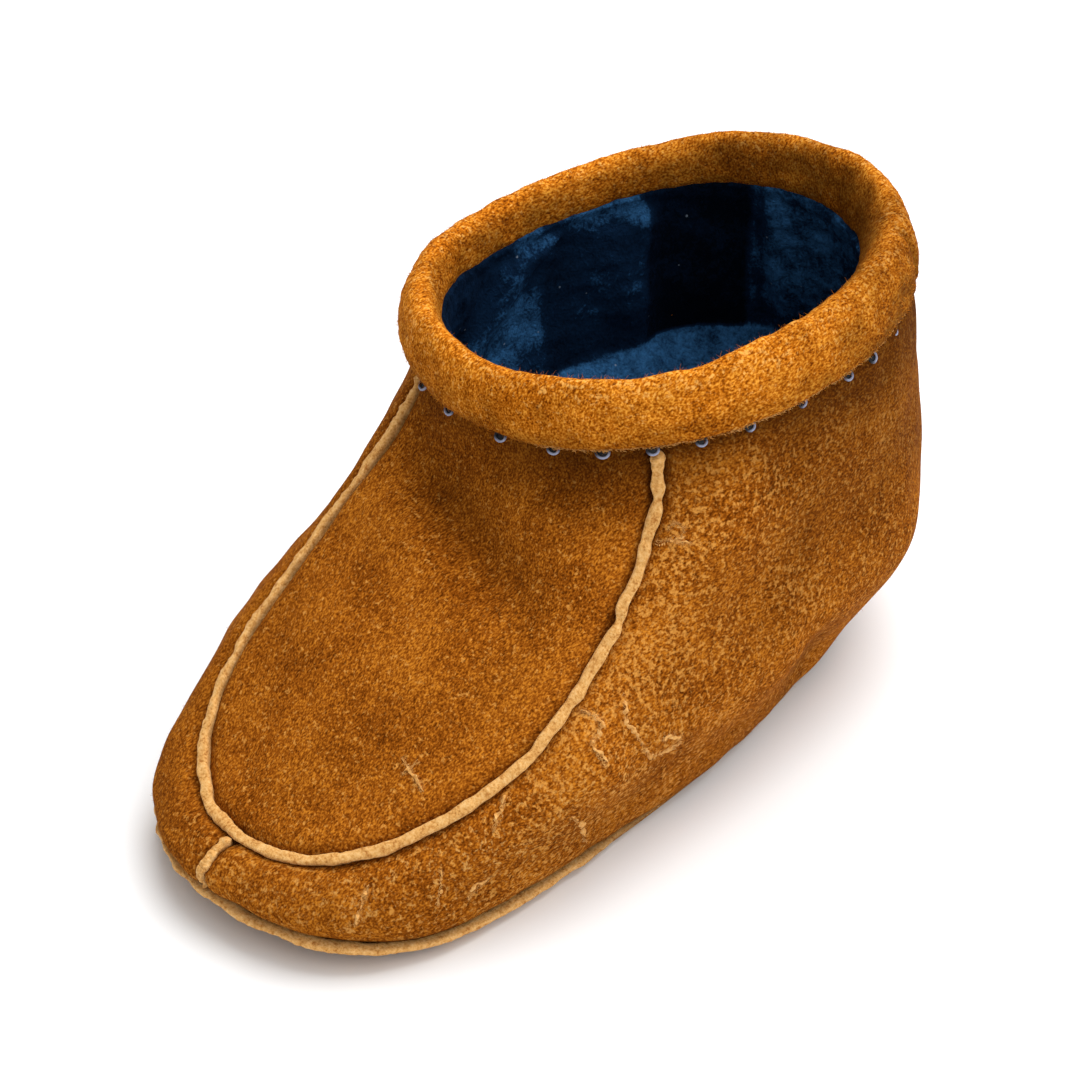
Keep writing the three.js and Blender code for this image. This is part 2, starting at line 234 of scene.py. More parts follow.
def tucked(turn):
    """How far the seam at the sole is under, from 0 round the toe to 1 at the heel:
    a smooth step on each side."""
    away = np.arccos(np.cos(turn)) / np.pi
    return np.where(np.sin(turn) > 0, fade(away, *OUTER_TUCK), fade(away, *INNER_TUCK))


WALL_SAG = 1.7

# Main creases of the upper, each along a path of (turn in degrees, ring), in millimetres:
# width to where it has mostly faded, height above the last (troughs are below zero).
CREASES = (
    {"path": ((-26, 0.67), (-8, 0.657), (9, 0.63), (22, 0.60), (30, 0.57)), "width": 4.8, "height": -2.4},
    {"path": ((-4, 0.74), (16, 0.77), (31, 0.81)), "width": 5.0, "height": -1.4},
    {"path": ((16, 0.705), (33, 0.647), (44, 0.593)), "width": 5.0, "height": 1.1},
    {"path": ((-32, 0.57), (-19, 0.59), (-7, 0.593)), "width": 4.5, "height": 0.6},
    {"path": ((-10, 0.50), (12, 0.48), (28, 0.44)), "width": 12.0, "height": 0.7},
    {"path": ((50, 0.845), (72, 0.765), (102, 0.72)), "width": 6.0, "height": -0.7},
    {"path": ((60, 0.62), (84, 0.60), (108, 0.56)), "width": 9.0, "height": 0.5},
    {"path": ((74, 0.34), (86, 0.24), (98, 0.15)), "width": 3.2, "height": -0.4},
    {"path": ((66, 0.36), (76, 0.27), (84, 0.20)), "width": 2.6, "height": 0.3},
    {"path": ((114, 0.26), (122, 0.11), (126, 0.02)), "width": 5.5, "height": -1.6},
    {"path": ((134, 0.36), (137, 0.24), (141, 0.10)), "width": 8.0, "height": 1.5},
    {"path": ((33, 0.19), (34, 0.14), (35, 0.05)), "width": 1.0, "height": -0.3},
    {"path": ((26, 0.17), (27, 0.10), (28, 0.04)), "width": 1.8, "height": -0.2},
    {"path": ((50, 0.17), (55, 0.10), (57, 0.04)), "width": 2.2, "height": -0.3},
    {"path": ((-60, 0.55), (-82, 0.50), (-100, 0.52)), "width": 9.0, "height": -0.9},
    {"path": ((-118, 0.66), (-140, 0.60), (-158, 0.64)), "width": 8.0, "height": -0.7},
    {"path": ((150, 0.62), (168, 0.55), (188, 0.58)), "width": 8.0, "height": -0.6},
)

# Scuffs rubbed pale by wear, along paths as above.
SCUFFS = (
    {"path": ((26, 0.375), (30, 0.357), (34, 0.335)), "width": 0.40, "amount": 1.0},
    {"path": ((30, 0.372), (28, 0.357)), "width": 0.35, "amount": 0.8},
    {"path": ((62, 0.395), (66, 0.378), (69, 0.360), (68, 0.338), (71, 0.312), (74, 0.288)),
     "width": 0.55, "amount": 0.9},
    {"path": ((85, 0.266), (88, 0.235), (91.5, 0.217), (94, 0.210), (93.2, 0.237), (90.8, 0.264),
              (89.7, 0.262)), "width": 0.60, "amount": 0.75},
    {"path": ((71.5, 0.396), (74, 0.366), (76, 0.340), (81, 0.304), (84, 0.278)),
     "width": 0.50, "amount": 0.5},
    {"path": ((33, 0.193), (34, 0.145), (34, 0.088)), "width": 0.40, "amount": 0.9},
    {"path": ((60, 0.125), (58, 0.113), (57, 0.092)), "width": 0.7, "amount": 0.9},
    {"path": ((53, 0.305), (54, 0.280), (54, 0.253)), "width": 0.55, "amount": 0.7},
    {"path": ((56, 0.682), (57, 0.695), (61, 0.682), (62, 0.662), (58, 0.665)),
     "width": 0.45, "amount": 0.6},
    {"path": ((54, 0.665), (59, 0.660), (66, 0.647)), "width": 0.40, "amount": 0.6},
    {"path": ((72, 0.203), (78, 0.140), (82, 0.075)), "width": 0.5, "amount": 0.4},
    {"path": ((47, 0.200), (49, 0.150), (50, 0.110)), "width": 0.45, "amount": 0.5},
)

UPPER_TURNS = 440
UPPER_ROWS = 160
turn = np.linspace(0, 2 * np.pi, UPPER_TURNS, endpoint=False)[:, None]
outer_at = np.linspace(0, UPPER_TOP, UPPER_ROWS)[None, :]
face = last_point(turn, outer_at)
seam_shares = np.linspace(-1, 1, 161)
seam_path = last_point(*apron_place(seam_shares))
seam_gap, seam_reach, seam_length = path_distance(face, seam_path)
toe_seam_path = toe_seam(np.linspace(0, 1, 12))
toe_gap, _, _ = path_distance(face, toe_seam_path)

# A point is on the apron where its turn is less than the seam's on the same ring.
outer_turn, outer_ring = apron_place(np.linspace(1e-6, 1, 200))
inner_turn, inner_ring = apron_place(np.linspace(-1e-6, -1, 200))
signed_turn = (turn + np.pi) % (2 * np.pi) - np.pi
seam_limit = np.where(
    signed_turn > 0,
    np.interp(outer_at, outer_ring, outer_turn),
    np.interp(outer_at, inner_ring, -inner_turn),
)
on_apron = (np.abs(signed_turn) < seam_limit) & (outer_at > APRON["toe_at"])
wall_gap = np.where(on_apron, -seam_gap, seam_gap)
toe_part = bell((seam_reach / seam_length - 0.55) / 0.24)


def on_last(path):
    """Places on the last of a path of (turn in degrees, ring)."""
    turns, rings = np.array(path).T
    return last_point(np.radians(turns), rings)


def creasing(places):
    """Height of all creases together: each is a bell across its path that dies away at both ends."""
    height = 0.20 * lumps(places, 26, 11)
    for crease in CREASES:
        gap, reach, run = path_distance(places, on_last(crease["path"]))
        ends = fade(reach, -0.25 * run, 0.3 * run) * fade(run - reach, -0.25 * run, 0.3 * run)
        height = height + crease["height"] * bell(gap / crease["width"]) * ends
    return height


relief = creasing(face)
# Painted shade in the troughs of the creases, added to the upper's painted shade below.
hollow_shade = np.clip(-0.16 * relief, 0, 0.4)
relief = relief + 0.08 * lumps(face, 9, 12) * fade(wall_gap, -8, 4)
# Both panels dive into the seam, and the gathered wall puckers along the toe.
pucker = np.sin(2 * np.pi * seam_reach / 2.6 + 1.6 * np.sin(seam_reach / 3.1) + 0.5 * wall_gap)
relief = relief + 0.10 * pucker * toe_part * bell((wall_gap - 2.6) / 2.4) * (wall_gap > 0)
relief = relief + 0.35 * bell((seam_gap - 3.2) / 2.4) - 1.0 * bell(seam_gap / 1.35)
relief = relief + 0.2 * bell((toe_gap - 2.4) / 1.8) * (outer_at < APRON["toe_at"])
relief = relief - 0.9 * bell(toe_gap / 1.0)
# The wall rolls in over the seam at the sole.
relief = relief + 0.35 * bell((outer_at - 0.055) / 0.035) - 0.8 * bell(outer_at / 0.014)

inner_at = np.linspace(UPPER_TOP, 0, 40)[None, :]
inner_face = last_point(turn, inner_at)
inside = inner_face + (creasing(inner_face) - WALL)[..., None] * last_normal(turn, inner_at)
skin = face + relief[..., None] * last_normal(turn, outer_at)
# Along the sides and heel the soft wall sags over the seam, close to the floor.
skin[..., 2] -= WALL_SAG * tucked(turn) * fade(-outer_at, -0.07, 0.0)
upper = grid_piece("suede_upper", np.concatenate([skin, inside], 1), wrap_rows=True, wrap_columns=True)

# Sizes of the collar roll in millimetres, at even turns from the front by the outer side.
# Its middle line is the top ring, moved so that the outer face keeps its distance from the wall.
ROLL_OUTSIDE = 3.2
ROLL_COLUMNS = ("half_width", "above", "below")
ROLL_SIZES = np.array([
    (2.9, 5.1, 4.9),
    (2.9, 7.1, 3.5),
    (3.1, 9.4, 2.8),
    (4.3, 8.0, 3.2),
    (3.3, 6.8, 3.2),
    (2.9, 5.6, 3.2),
    (2.9, 4.8, 3.2),
    (2.9, 5.6, 4.4),
])


def roll_size(column, turn):
    """Smooth closed curve through one column of the roll's table, made like that of the rings."""
    values = ROLL_SIZES[:, ROLL_COLUMNS.index(column)]
    place = np.asarray(turn) / (2 * np.pi) * len(values)
    first = np.floor(place).astype(int)
    t = place - first
    before, start, end, after = (values[(first + k) % len(values)] for k in (-1, 0, 1, 2))
    ease = t * t * (3 - 2 * t)
    bend = t * (1 - t) * ((1 - t) * (end - before) - t * (after - start)) / 2
    return start * (1 - ease) + end * ease + bend


# Wear of the suede: pale flecks on the walls and rubbed scuffs, and painted shade in the hollows and seams,
# under the collar, on the heel, the inner side and low on the walls.
side_on = np.sin(signed_turn)
heel_side = fade(signed_turn, 1.2, 2.1) * fade(-signed_turn, -np.pi, -2.5)
flecks = np.where(on_apron, 0.12 + 0.10 * bell((outer_at - 0.28) / 0.07), 0.66)
flecks = flecks - 0.28 * (~on_apron) * fade(-np.abs(signed_turn), -1.1, -0.7)
flecks = flecks + 0.10 * (~on_apron) * bell((wall_gap - 5) / 9) * fade(outer_at, 0.30, 0.5)
flecks = flecks - 0.40 * (~on_apron) * fade(-side_on, -0.15, 0.5) - 0.30 * fade(outer_at, 0.70, 0.92)
flecks = flecks + 0.09 * lumps(face, 15, 21) * (~on_apron) - 0.20 * heel_side
# Painted shade: dark lines along the apron and toe seams and at the gap above the sole, darker under the
# collar, in the crease hollows, on the heel, on the inner side and low on the walls, with a little random
# tone.
painted_shade = 0.85 * bell(seam_gap / 1.45) + 0.85 * bell(toe_gap / 1.15) + 0.9 * bell(outer_at / 0.022)
painted_shade = painted_shade + 0.50 * fade(outer_at, 0.62, 0.88) + 0.26 * on_apron * fade(outer_at, 0.68, 0.82) + hollow_shade
painted_shade = painted_shade + 0.60 * heel_side * fade(outer_at, 0.15, 0.5) + 0.20 * fade(-side_on, 0.1, 0.8)
painted_shade = painted_shade + 0.22 * (~on_apron) * fade(-outer_at, -0.3, -0.1) + 0.05 * lumps(face, 17, 23)
# Painted shadow where the lip of the collar roll hangs over the wall.
below_lip = last_point(turn, 1.0)[..., 2] - roll_size("below", turn) - face[..., 2]
painted_shade = painted_shade + 0.75 * bell((below_lip - 0.3) / 1.0) + 0.20 * bell((below_lip - 0.5) / 4.0)
scuff = np.zeros_like(relief)
for mark in SCUFFS:
    gap, _, _ = path_distance(face, on_last(mark["path"]))
    broken = 0.7 + 0.3 * lumps(face, 2.4, 22)
    scuff = np.maximum(scuff, mark["amount"] * bell(gap / (mark["width"] + 0.25)) * broken)
turn_degrees = np.degrees(signed_turn)
wrinkled = (~on_apron) * bell((turn_degrees - 48) / 32) * bell((outer_at - 0.17) / 0.13)
wrinkled = wrinkled + 0.5 * (~on_apron) * bell((turn_degrees - 86) / 16) * bell((outer_at - 0.24) / 0.10)
blank = np.zeros((UPPER_TURNS, inner_at.size))
for name, amounts in (("flecks", flecks), ("painted_shade", painted_shade), ("scuff", scuff), ("wrinkled", wrinkled)):
    paint(upper, name, np.clip(np.concatenate([amounts, blank], 1), 0, 1))


def linear(colour):
    """sRGB hex to the linear colour that shaders take."""
    value = np.array([int(colour[i:i + 2], 16) for i in (1, 3, 5)]) / 255
    value = np.where(value <= 0.04045, value / 12.92, ((value + 0.055) / 1.055) ** 2.4)
    return (*value.tolist(), 1.0)


def node(tree, kind, inputs=None, **settings):
    """Add a node, set its settings, and give each named input a value or a link:
    from a socket, or from the first output of a node."""
    added = tree.nodes.new(kind)
    for name, value in settings.items():
        setattr(added, name, value)
    for name, value in (inputs or {}).items():
        socket = added.inputs[name]
        value = value.outputs[0] if isinstance(value, bpy.types.Node) else value
        if isinstance(value, bpy.types.NodeSocket):
            tree.links.new(value, socket)
        else:
            socket.default_value = value
    return added


def empty_material(name):
    """New material without nodes, and its node tree."""
    material = bpy.data.materials.new(name)
    material.use_nodes = True
    material.node_tree.nodes.clear()
    return material, material.node_tree


def suede(name, deep, body, tip, pale, fleck_base=0.0):
    """Split suede, napped: short fibres in tufts that lie this way and that, so each reflects differently.
    Colour goes from deep by body to tip with the nap, then to pale in flecks, wrinkles and scuffs,
    then to dark brown where shade is painted."""
    material, tree = empty_material(name)
    place = node(tree, "ShaderNodeTexCoord").outputs["Object"]
    flecks, painted_shade, scuff, wrinkled = (
        node(tree, "ShaderNodeAttribute", attribute_name=key).outputs["Fac"]
        for key in ("flecks", "painted_shade", "scuff", "wrinkled"))
    cloud = node(tree, "ShaderNodeTexNoise", {
        "Vector": place, "Scale": 1 / (11 * MM), "Detail": 3.0, "Roughness": 0.6})
    # The nap is brushed one way, so its tufts and fibres are longer than they are wide.
    # Real fibres are near 0.02 mm wide, so they are drawn as coarse as still shows.
    brushed = node(tree, "ShaderNodeMapping", {
        "Vector": place, "Rotation": (0.0, 0.3, 0.6), "Scale": (1.0, 0.5, 0.8)})
    tuft = node(tree, "ShaderNodeTexNoise", {
        "Vector": brushed, "Scale": 1 / (0.9 * MM), "Detail": 3.0, "Roughness": 0.6, "Distortion": 0.2})
    fibre = node(tree, "ShaderNodeTexNoise", {
        "Vector": brushed, "Scale": 1 / (0.26 * MM), "Detail": 1.0, "Roughness": 0.5})
    speck = node(tree, "ShaderNodeTexNoise", {
        "Vector": place, "Scale": 1 / (0.8 * MM), "Detail": 2.0, "Roughness": 0.65})
    bed = node(tree, "ShaderNodeTexNoise", {
        "Vector": place, "Scale": 1 / (2.7 * MM), "Detail": 2.0, "Roughness": 0.55, "Distortion": 1.2})

    # Tone of the nap.
    tone = node(tree, "ShaderNodeMath", {0: cloud, 1: 0.45, 2: fibre}, operation="MULTIPLY_ADD")
    tone = node(tree, "ShaderNodeMath", {0: tuft, 1: 0.4, 2: tone}, operation="MULTIPLY_ADD")
    tone = node(tree, "ShaderNodeMapRange", {"Value": tone, "From Min": 0.67, "From Max": 1.18})
    ramp = node(tree, "ShaderNodeValToRGB", {"Fac": tone})
    stops = ramp.color_ramp.elements
    stops[0].color, stops[1].color = linear(deep), linear(tip)
    stops.new(0.5).color = linear(body)

    # Flecks are the peaks of a fine noise; where more are painted, more of it counts as a peak.
    share = node(tree, "ShaderNodeMath", {0: flecks, 1: fleck_base}, operation="ADD")
    peak = node(tree, "ShaderNodeMath", {0: share, 1: 0.15, 2: speck}, operation="MULTIPLY_ADD")
    peak = node(tree, "ShaderNodeMath", {0: scuff, 1: 0.06, 2: peak}, operation="MULTIPLY_ADD")
    peak = node(tree, "ShaderNodeMapRange", {
        "Value": peak, "From Min": 0.61, "From Max": 0.72, "To Max": 1.5})
    peak = node(tree, "ShaderNodeMath", {0: peak, 1: fibre}, operation="MULTIPLY", use_clamp=True)
    # Wrinkles are the level lines of a coarser noise, so they wander and never cross.
    level = node(tree, "ShaderNodeMath", {0: bed, 1: 0.5}, operation="SUBTRACT")
    level = node(tree, "ShaderNodeMath", {0: level}, operation="ABSOLUTE")
    line = node(tree, "ShaderNodeMapRange", {
        "Value": level, "From Max": 0.035, "To Min": 1.0, "To Max": 0.0})
    line = node(tree, "ShaderNodeMath", {0: line, 1: wrinkled}, operation="MULTIPLY")
    broken = node(tree, "ShaderNodeMapRange", {"Value": speck, "From Min": 0.47, "From Max": 0.62})
    line = node(tree, "ShaderNodeMath", {0: line, 1: broken}, operation="MULTIPLY")
    rub = node(tree, "ShaderNodeMapRange", {"Value": scuff, "From Min": 0.35, "To Max": 1.1})
    rub = node(tree, "ShaderNodeMath", {0: rub, 1: tuft}, operation="MULTIPLY")
    worn = node(tree, "ShaderNodeMath", {0: line, 1: rub}, operation="ADD", use_clamp=True)
    colour = node(tree, "ShaderNodeMix", {
        0: peak, 6: ramp, 7: linear(pale)}, data_type="RGBA").outputs[2]
    colour = node(tree, "ShaderNodeMix", {
        0: worn, 6: colour, 7: linear("#d8a25a")}, data_type="RGBA").outputs[2]
    # Painted shade darkens the colour towards dark brown.
    dark = node(tree, "ShaderNodeMath", {0: painted_shade, 1: 0.75}, operation="MULTIPLY")
    colour = node(tree, "ShaderNodeMix", {
        0: dark, 6: colour, 7: linear("#2a1203")}, data_type="RGBA").outputs[2]

    height = node(tree, "ShaderNodeMath", {0: fibre, 1: 0.5, 2: tuft}, operation="MULTIPLY_ADD")
    height = node(tree, "ShaderNodeMath", {0: worn, 1: 0.35, 2: height}, operation="MULTIPLY_ADD")
    bump = node(tree, "ShaderNodeBump", {"Height": height, "Strength": 0.5, "Distance": 0.35 * MM})
    surface = node(tree, "ShaderNodeBsdfPrincipled", {
        "Base Color": colour, "Normal": bump, "Roughness": 0.95,
        "Specular IOR Level": 0.02,
        "Sheen Weight": 0.04, "Sheen Roughness": 0.5, "Sheen Tint": linear("#d07a20")})
    node(tree, "ShaderNodeOutputMaterial", {"Surface": surface})
    return material


# Tan split suede, brushed on the outside, so light and dark nap lie side by side.
tan_suede = suede("tan_split_suede", "#562702", "#8e4b0d", "#c67a22", "#d29040")
upper.data.materials.append(tan_suede)
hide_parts("upper")
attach(upper, "root")

# Seam welts
# Thin strips of the same suede, folded into the apron, toe and sole seams as they are sewn.
# Their cut edges stand up from the seam, pale and a little uneven.
WELT_HALF = 0.85
WELT_CROWN = 0.70
WELT_ROOT = 1.5
TOE_WELT_HALF = 0.58
TOE_WELT_CROWN = 0.50
INNER_THINNING = 0.2


def welt_bar(places, across, upwards, half, crown, root, closed, seed):
    """Places of a bar along a path. Its section is a flat-topped half oval above the seam and a plain
    half oval below, with uneven edges, rougher near the ends of an open strip, which draw in to a point."""
    swing = np.linspace(0, 2 * np.pi, 20, endpoint=False)[None, :, None]
    rows = np.arange(len(places))[:, None, None]
    to_end = np.minimum(rows, len(places) - 1 - rows)
    taper = 1.0 if closed else np.minimum(1, np.sqrt(to_end / 3.0))
    rough = 1.0 if closed else 1 + 1.3 * bell(to_end * np.linalg.norm(places[1] - places[0]) / 20.0)
    swell = 0.06 * lumps(places, 4.0, seed) + 0.03 * lumps(places, 1.5, seed + 1)
    uneven = 1 + rough * swell[:, None, None]
    sway = 0.10 * rough * lumps(places, 6.0, seed + 2)[:, None, None]
    c, s = np.cos(swing), np.sin(swing)
    side = (half * uneven * np.sign(c) * np.abs(c) ** 0.7 * np.where(s < 0, 0.8, 1) + sway) * taper
    tall = np.where(s > 0, crown * uneven * np.abs(s) ** 0.55, root * s) * taper
    bar = places[:, None, :] + side * across[:, None, :] + tall * upwards[:, None, :]
    return bar + (0.05 * rough * lumps(bar, 1.1, seed + 3)[..., None]) * upwards[:, None, :]


def along_path(places):
    """Direction of a path at each of its points, from its two neighbours."""
    return unit(np.gradient(places, axis=0))


welt_share = np.linspace(-1, 1, 420)
welt_half = WELT_HALF * (1 - INNER_THINNING * fade(-welt_share, 0.15, 0.5))[:, None, None]
welt_turn, welt_at = apron_place(welt_share)
welt_places = last_point(welt_turn, welt_at)
welt_up = last_normal(welt_turn, welt_at)
welt_across = unit(np.cross(along_path(welt_places), welt_up))
apron_bar = welt_bar(welt_places, welt_across, welt_up, welt_half, WELT_CROWN, WELT_ROOT, False, 31)
apron_welt = grid_piece("apron_seam_welt", apron_bar, wrap_columns=True, weld=True)
toe_share = np.linspace(0.05, 0.93, 60)
toe_places = toe_seam(toe_share)
toe_up = last_normal(np.zeros(60), APRON["toe_at"] * (1 - toe_share))
toe_across = unit(np.cross(along_path(toe_places), toe_up))
toe_bar = welt_bar(toe_places, toe_across, toe_up, TOE_WELT_HALF, TOE_WELT_CROWN, WELT_ROOT, False, 41)
toe_welt = grid_piece("toe_seam_welt", toe_bar, wrap_columns=True, weld=True)


def suede_edge(name, deep, body, pale, pitting=0.45, fuzz=0.15):
    """Cut edge of suede: dense pale fibre, streaked across, with darker pits between tufts,
    and dull brown where shade is painted."""
    material, tree = empty_material(name)
    place = node(tree, "ShaderNodeTexCoord").outputs["Object"]
    tuft = node(tree, "ShaderNodeTexNoise", {
        "Vector": place, "Scale": 1 / (1.1 * MM), "Detail": 4.0, "Roughness": 0.65})
    pit = node(tree, "ShaderNodeTexNoise", {
        "Vector": place, "Scale": 1 / (0.38 * MM), "Detail": 3.0, "Roughness": 0.6})
    tone = node(tree, "ShaderNodeMath", {0: tuft, 1: pit}, operation="ADD")
    tone = node(tree, "ShaderNodeMapRange", {"Value": tone, "From Min": 0.72, "From Max": 1.28})
    ramp = node(tree, "ShaderNodeValToRGB", {"Fac": tone})
    stops = ramp.color_ramp.elements
    stops[0].color, stops[1].color = linear(deep), linear(pale)
    stops.new(0.45).color = linear(body)
    painted_shade = node(tree, "ShaderNodeAttribute", attribute_name="painted_shade").outputs["Fac"]
    colour = node(tree, "ShaderNodeMix", {0: painted_shade, 6: ramp, 7: linear("#4a2808")}, data_type="RGBA")
    bump = node(tree, "ShaderNodeBump", {"Height": pit, "Strength": pitting, "Distance": 0.35 * MM})
    surface = node(tree, "ShaderNodeBsdfPrincipled", {
        "Base Color": colour.outputs[2], "Normal": bump, "Roughness": 0.92,
        "Specular IOR Level": 0.2,
        "Sheen Weight": fuzz, "Sheen Roughness": 0.5, "Sheen Tint": linear("#f0cc98")})
    node(tree, "ShaderNodeOutputMaterial", {"Surface": surface})
    return material


pale_edge = suede_edge("cut_suede_edge", "#a5682a", "#d39c56", "#e6b878")
for piece, solid in ((apron_welt, "apron_welt"), (toe_welt, "toe_welt")):
    piece.data.materials.append(pale_edge)
    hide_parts(solid)
    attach(piece, "root")

# Outsole and its welt
# A single layer of firm suede cut to the last's plan, with its flesh side to the floor.
# A raw strip lies in the seam above it and shows as a pale lip round the toe and along the outer side.
SOLE_THICKNESS = 1.4
SOLE_WELT_LOW = 1.35
SOLE_WELT_HIGH = 2.65
SOLE_WELT_HALF = 1.15
SOLE_WELT_INSET = 0.25
SOLE_WELT_DRAWN_IN = 1.2
PLATE_TURNS = 300


def seam_outline(turn):
    """Plan of the seam at the sole, and the outward direction in that plan."""
    ahead = last_point(turn + 1e-3, 0.0) - last_point(turn - 1e-3, 0.0)
    outwards = np.stack([ahead[..., 1], -ahead[..., 0], 0 * ahead[..., 0]], -1)
    return last_point(turn, 0.0), unit(outwards)


def plate(turn, levels, spine_low, spine_high):
    """Flat piece with the sole's plan. Each level is an inset, a height and a share of the way out
    from the spine, a line down the middle of the foot, so the first and last levels close on it."""
    edge, outwards = seam_outline(turn)
    rows = []
    for inset, height, share in levels:
        p = edge - inset * outwards
        spine = np.stack([0 * p[:, 0], np.clip(p[:, 1], spine_low, spine_high), 0 * p[:, 2]], -1)
        p = spine + (p - spine) * share
        p[:, 2] = height + spring_at(p[:, 1])
        rows.append(p)
    return np.stack(rows, 1)


plate_turn = np.linspace(0, 2 * np.pi, PLATE_TURNS, endpoint=False)
sole_levels = [(1.9, 0.0, share) for share in np.linspace(0, 1, 14)]
sole_levels += [(1.5, 0.08, 1), (1.15, 0.25, 1), (0.9, 0.5, 1)]
sole_levels += [(0.8, 0.8, 1), (0.8, 1.15, 1), (0.95, 1.32, 1)]
sole_levels += [(1.4, SOLE_THICKNESS, share) for share in (1, 0.9, 0.5, 0)]
outsole = grid_piece("suede_outsole", plate(plate_turn, sole_levels, -40, 36), wrap_rows=True, weld=True)
sole_suede = suede("worn_sole_suede", "#6a4016", "#8e5f2c", "#b78448", "#cfa068", fleck_base=0.45)
outsole.data.materials.append(sole_suede)
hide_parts("outsole")
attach(outsole, "root")

lip_turn = np.linspace(0, 2 * np.pi, 520, endpoint=False)
lip_edge, lip_out = seam_outline(lip_turn)
# The strip stands out as a lip where it shows and is tucked under elsewhere, with painted shade, dull
# brown, there under the wall.
lip_tuck = tucked(lip_turn)[:, None]
lip_places = lip_edge + (-SOLE_WELT_INSET - SOLE_WELT_DRAWN_IN * lip_tuck) * lip_out
lip_places[:, 2] = (SOLE_WELT_LOW + SOLE_WELT_HIGH) / 2 + spring_at(lip_edge[:, 1])
lip_up = np.tile([0.0, 0.0, 1.0], (520, 1))
lip_tall = (SOLE_WELT_HIGH - SOLE_WELT_LOW) / 2
lip_bar = welt_bar(lip_places, lip_out, lip_up, SOLE_WELT_HALF, lip_tall, lip_tall, True, 51)
sole_welt = grid_piece("sole_seam_welt", lip_bar, wrap_rows=True, wrap_columns=True)
paint(sole_welt, "painted_shade", np.repeat(0.9 * lip_tuck, 20))
sole_welt.data.materials.append(pale_edge)
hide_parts("sole_welt")
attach(sole_welt, "root")

# Footbed and lining
# Navy polyester fleece, brushed to a soft pile that pills into small tufts. It covers the footbed
# and is sewn in at the collar, slack enough to fold and swell inwards.
footbed_levels = [(3.4, 1.75, share) for share in (0, 0.5, 1)]
footbed_levels += [(3.0, 2.4, 1), (3.0, 3.4, 1), (3.3, 3.9, 1), (4.2, 4.2, 1)]
footbed_levels += [(4.2, 4.2 + 0.5 * (1 - share**2), share) for share in np.linspace(0.95, 0, 16)]
footbed_places = plate(plate_turn, footbed_levels, -40, 36)
footbed_places[..., 2] += 0.18 * lumps(footbed_places, 9, 61) * (footbed_places[..., 2] > 4.1)
footbed = grid_piece("fleece_footbed", footbed_places, wrap_rows=True, weld=True)
paint(footbed, "lie_and_painted_light", np.full(len(footbed.data.vertices), 0.45))

LINING_TURNS = 320
LINING_ROWS = 110
PILE = 1.0
STAND_OFF = 0.7
FOOT_IN = 1.9
lining_turn = np.linspace(0, 2 * np.pi, LINING_TURNS, endpoint=False)[:, None]
lining_at = np.linspace(0.0, 1.0, LINING_ROWS)[None, :]
# Slack of the lining: soft folds, each a turn in degrees, a width in degrees and how far it comes in.
# A fold's second width is on the side of the greater turn, so a fold may stand over like a pleat.
FOLDS = (
    {"turn": -66, "widths": (9, 9), "depth": 1.2}, {"turn": -95, "widths": (4, 16), "depth": 2.6},
    {"turn": -124, "widths": (4, 14), "depth": 1.8}, {"turn": -161, "widths": (14, 4), "depth": 2.4},
    {"turn": 172, "widths": (8, 8), "depth": 1.0}, {"turn": 140, "widths": (13, 13), "depth": 2.0},
    {"turn": 96, "widths": (14, 14), "depth": 2.0}, {"turn": 52, "widths": (10, 10), "depth": 1.4},
    {"turn": 10, "widths": (12, 12), "depth": 1.6}, {"turn": -28, "widths": (9, 9), "depth": 1.2},
)
# Low on the inner side of the heel it is padded: a shelf that starts at a crease in the wall.
SWELLING = {"turn": -131, "half": 40, "crease": 0.465, "run": 0.17, "depth": 9.0}
# Painted light and shade on the pile round the mouth by turn in degrees, given as its lie: lit (1) to
# shaded (0).
# It is cut in panels, so it changes sharply at their edges, which lean by LEANS at the LEAN_TURNS.
PILE_LIES_AND_PAINTED_LIGHT = np.array([
    (-180, 0.62), (-162, 0.68), (-160, 0.64), (-159, 0.50), (-156, 0.66),
    (-154.5, 0.14), (-146, 0.08), (-129, 0.10),
    (-127.5, 0.52), (-115, 0.46), (-105, 0.28),
    (-103.5, 0.58), (-94, 0.54), (-84, 0.44), (-68, 0.26), (-40, 0.22),
    (0, 0.4), (90, 0.4), (140, 0.60), (180, 0.62),
])
LEAN_TURNS = (-155, -128, -104, -60)
LEANS = (-9, 13, 36, 36)
lining_face = last_point(lining_turn, lining_at)
lining_normal = last_normal(lining_turn, lining_at)
slack = 0.35 * lumps(lining_face, 13, 62)
for fold in FOLDS:
    lean = fold["turn"] + 4 * np.sin(5 * lining_at + fold["turn"])
    away = (np.degrees(lining_turn) - lean + 180) % 360 - 180
    slack = slack + fold["depth"] * bell(away / np.where(away < 0, *fold["widths"]))
away = (np.degrees(lining_turn) - SWELLING["turn"] + 180) % 360 - 180
padded = fade(SWELLING["half"] - np.abs(away), 0, 16)
under = (SWELLING["crease"] - lining_at) / SWELLING["run"]
swell = padded * np.sin(np.pi / 2 * np.clip(under, 0, 1))
slack = slack * (1 - 0.8 * swell) + SWELLING["depth"] * swell
slack = slack * fade(lining_at, 0.02, 0.2) * fade(-lining_at, -0.97, -0.80)
lining_depth = WALL + STAND_OFF + np.maximum(slack, -0.4) - np.minimum(creasing(lining_face), 0)
# Its foot comes in over the edge of the footbed.
lining_depth = lining_depth + FOOT_IN * fade(-lining_at, -0.09, -0.02)
